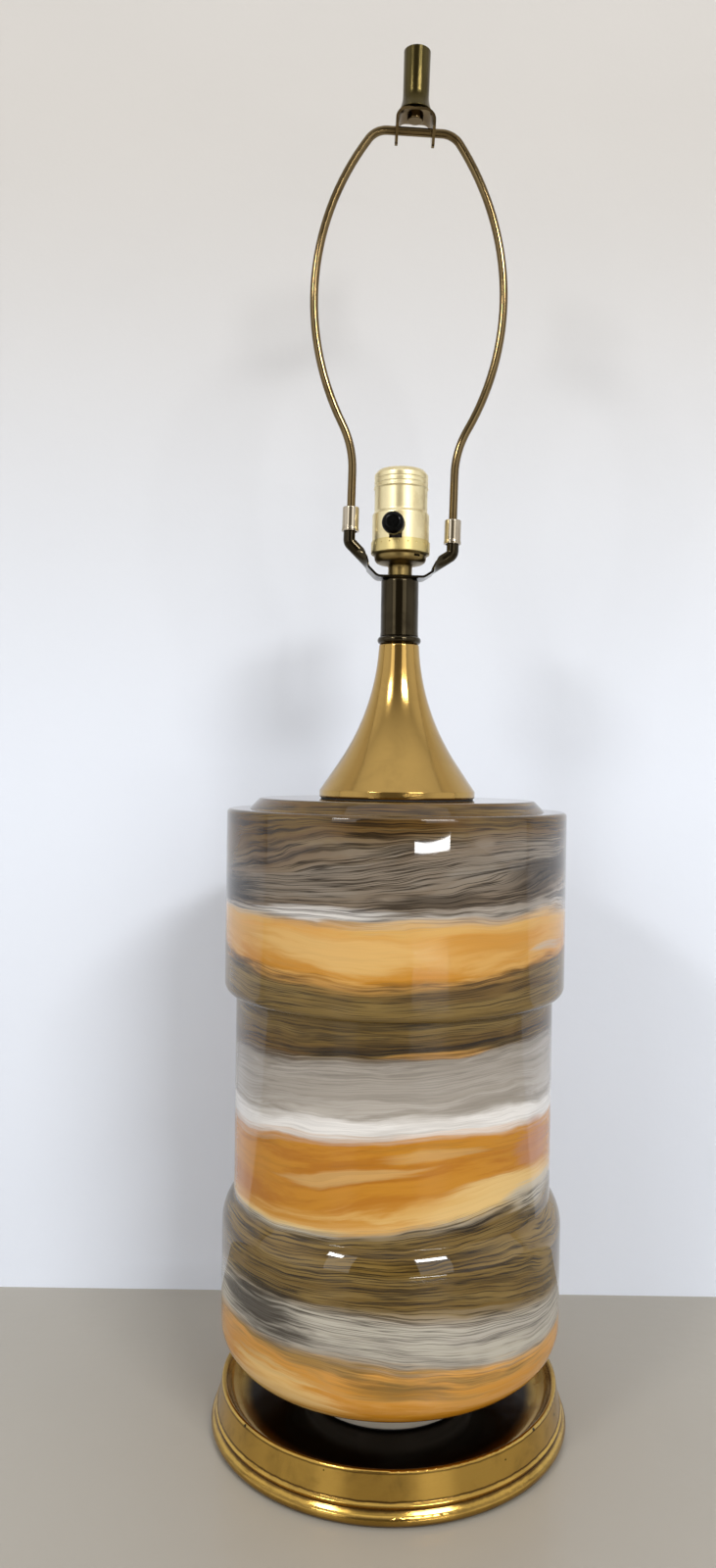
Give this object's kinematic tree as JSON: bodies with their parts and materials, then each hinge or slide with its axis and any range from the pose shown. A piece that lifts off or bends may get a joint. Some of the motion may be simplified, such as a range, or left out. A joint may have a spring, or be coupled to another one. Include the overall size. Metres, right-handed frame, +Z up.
{
  "type": "table lamp",
  "caption": "Tall table lamp without shade: cylindrical marbled glass body on a spun brass dish base, brass trumpet neck, lamp socket with rotary switch, wire harp and finial.",
  "frame": {"origin": "centre of the felt under the base, on the surface the lamp stands on", "axes": "+Z up along the lamp axis, -Y towards the switch knob and the viewer, +X to the viewer's right"},
  "size_m": [0.2136, 0.2136, 0.8219],
  "materials": {
    "felt": "dark brown felt",
    "base_brass": "polished spun brass, lightly tarnished in the grooves",
    "trumpet_brass": "lightly brushed spun brass",
    "neck_brass": "dark antique brass",
    "harp_brass": "antique brass wire, worn bright along the highlights",
    "ferrule_brass": "polished coppery brass",
    "finial_brass": "brushed antique brass",
    "socket_brass": "pale gold satin plating",
    "painted_glass": "clear glass marbled inside in orange, olive brown, grey and white bands",
    "black_plastic": "matt black",
    "black_knob": "gloss black moulded",
    "insulator": "dark moulded phenolic",
    "liner_paper": "dark fish paper",
    "gasket": "black rubber",
    "hidden_steel": "zinc plated steel",
    "thread_metal": "thin bright screw shell",
    "contact_brass": "bare brass"
  },
  "bodies": {
    "lamp": {"base_felt": "felt", "base_shell": "base_brass", "cord_outlet": "black_plastic", "foot_gasket": "gasket", "glass_body": "painted_glass", "mouth_disc": "hidden_steel", "top_gasket": "gasket", "trumpet_neck": "trumpet_brass", "neck_ring": "neck_brass", "neck_tube": "neck_brass", "threaded_rod": "hidden_steel", "base_washer": "hidden_steel", "lock_washer": "hidden_steel", "base_nut": "hidden_steel", "harp_saddle": "neck_brass", "socket_cap": "socket_brass", "cap_set_screw": "hidden_steel", "socket_shell": "socket_brass", "insulating_liner": "liner_paper", "socket_body": "insulator", "screw_shell": "thread_metal", "centre_contact": "contact_brass", "terminal_screws": "contact_brass"},
    "switch": {"switch_shaft": "hidden_steel", "switch_knob": "black_knob"},
    "harp": {"harp": "harp_brass"},
    "ferrule_left": {"ferrule_left": "ferrule_brass"},
    "ferrule_right": {"ferrule_right": "ferrule_brass"},
    "bracket": {"harp_bracket": "harp_brass", "finial_stud": "harp_brass"},
    "finial": {"finial": "finial_brass"}
  },
  "joints": [
    {"name": "knob_turn", "type": "hinge", "parent": "lamp", "child": "switch", "pos_m": [0, 0, 0.5352], "axis": [-0.1908, -0.9816, 0], "continuous": true},
    {"name": "harp_lift", "type": "slide", "parent": "lamp", "child": "harp", "axis": [0.0192, 0.0011, 0.9998], "range_m": [0, 0.04]},
    {"name": "ferrule_left_slide", "type": "slide", "parent": "harp", "child": "ferrule_left", "axis": [0.0192, 0.0011, 0.9998], "range_m": [0, 0.02]},
    {"name": "ferrule_right_slide", "type": "slide", "parent": "harp", "child": "ferrule_right", "axis": [0.0192, 0.0011, 0.9998], "range_m": [0, 0.025]},
    {"name": "bracket_tilt", "type": "hinge", "parent": "harp", "child": "bracket", "pos_m": [0.00514, 0.0003, 0.77435], "axis": [0.9982, 0.0576, -0.0192], "range_deg": [-25, 25]},
    {"name": "finial_turn", "type": "hinge", "parent": "bracket", "child": "finial", "pos_m": [0.00536, 0.00031, 0.78565], "axis": [0.0192, 0.0011, 0.9998], "continuous": true}
  ]
}
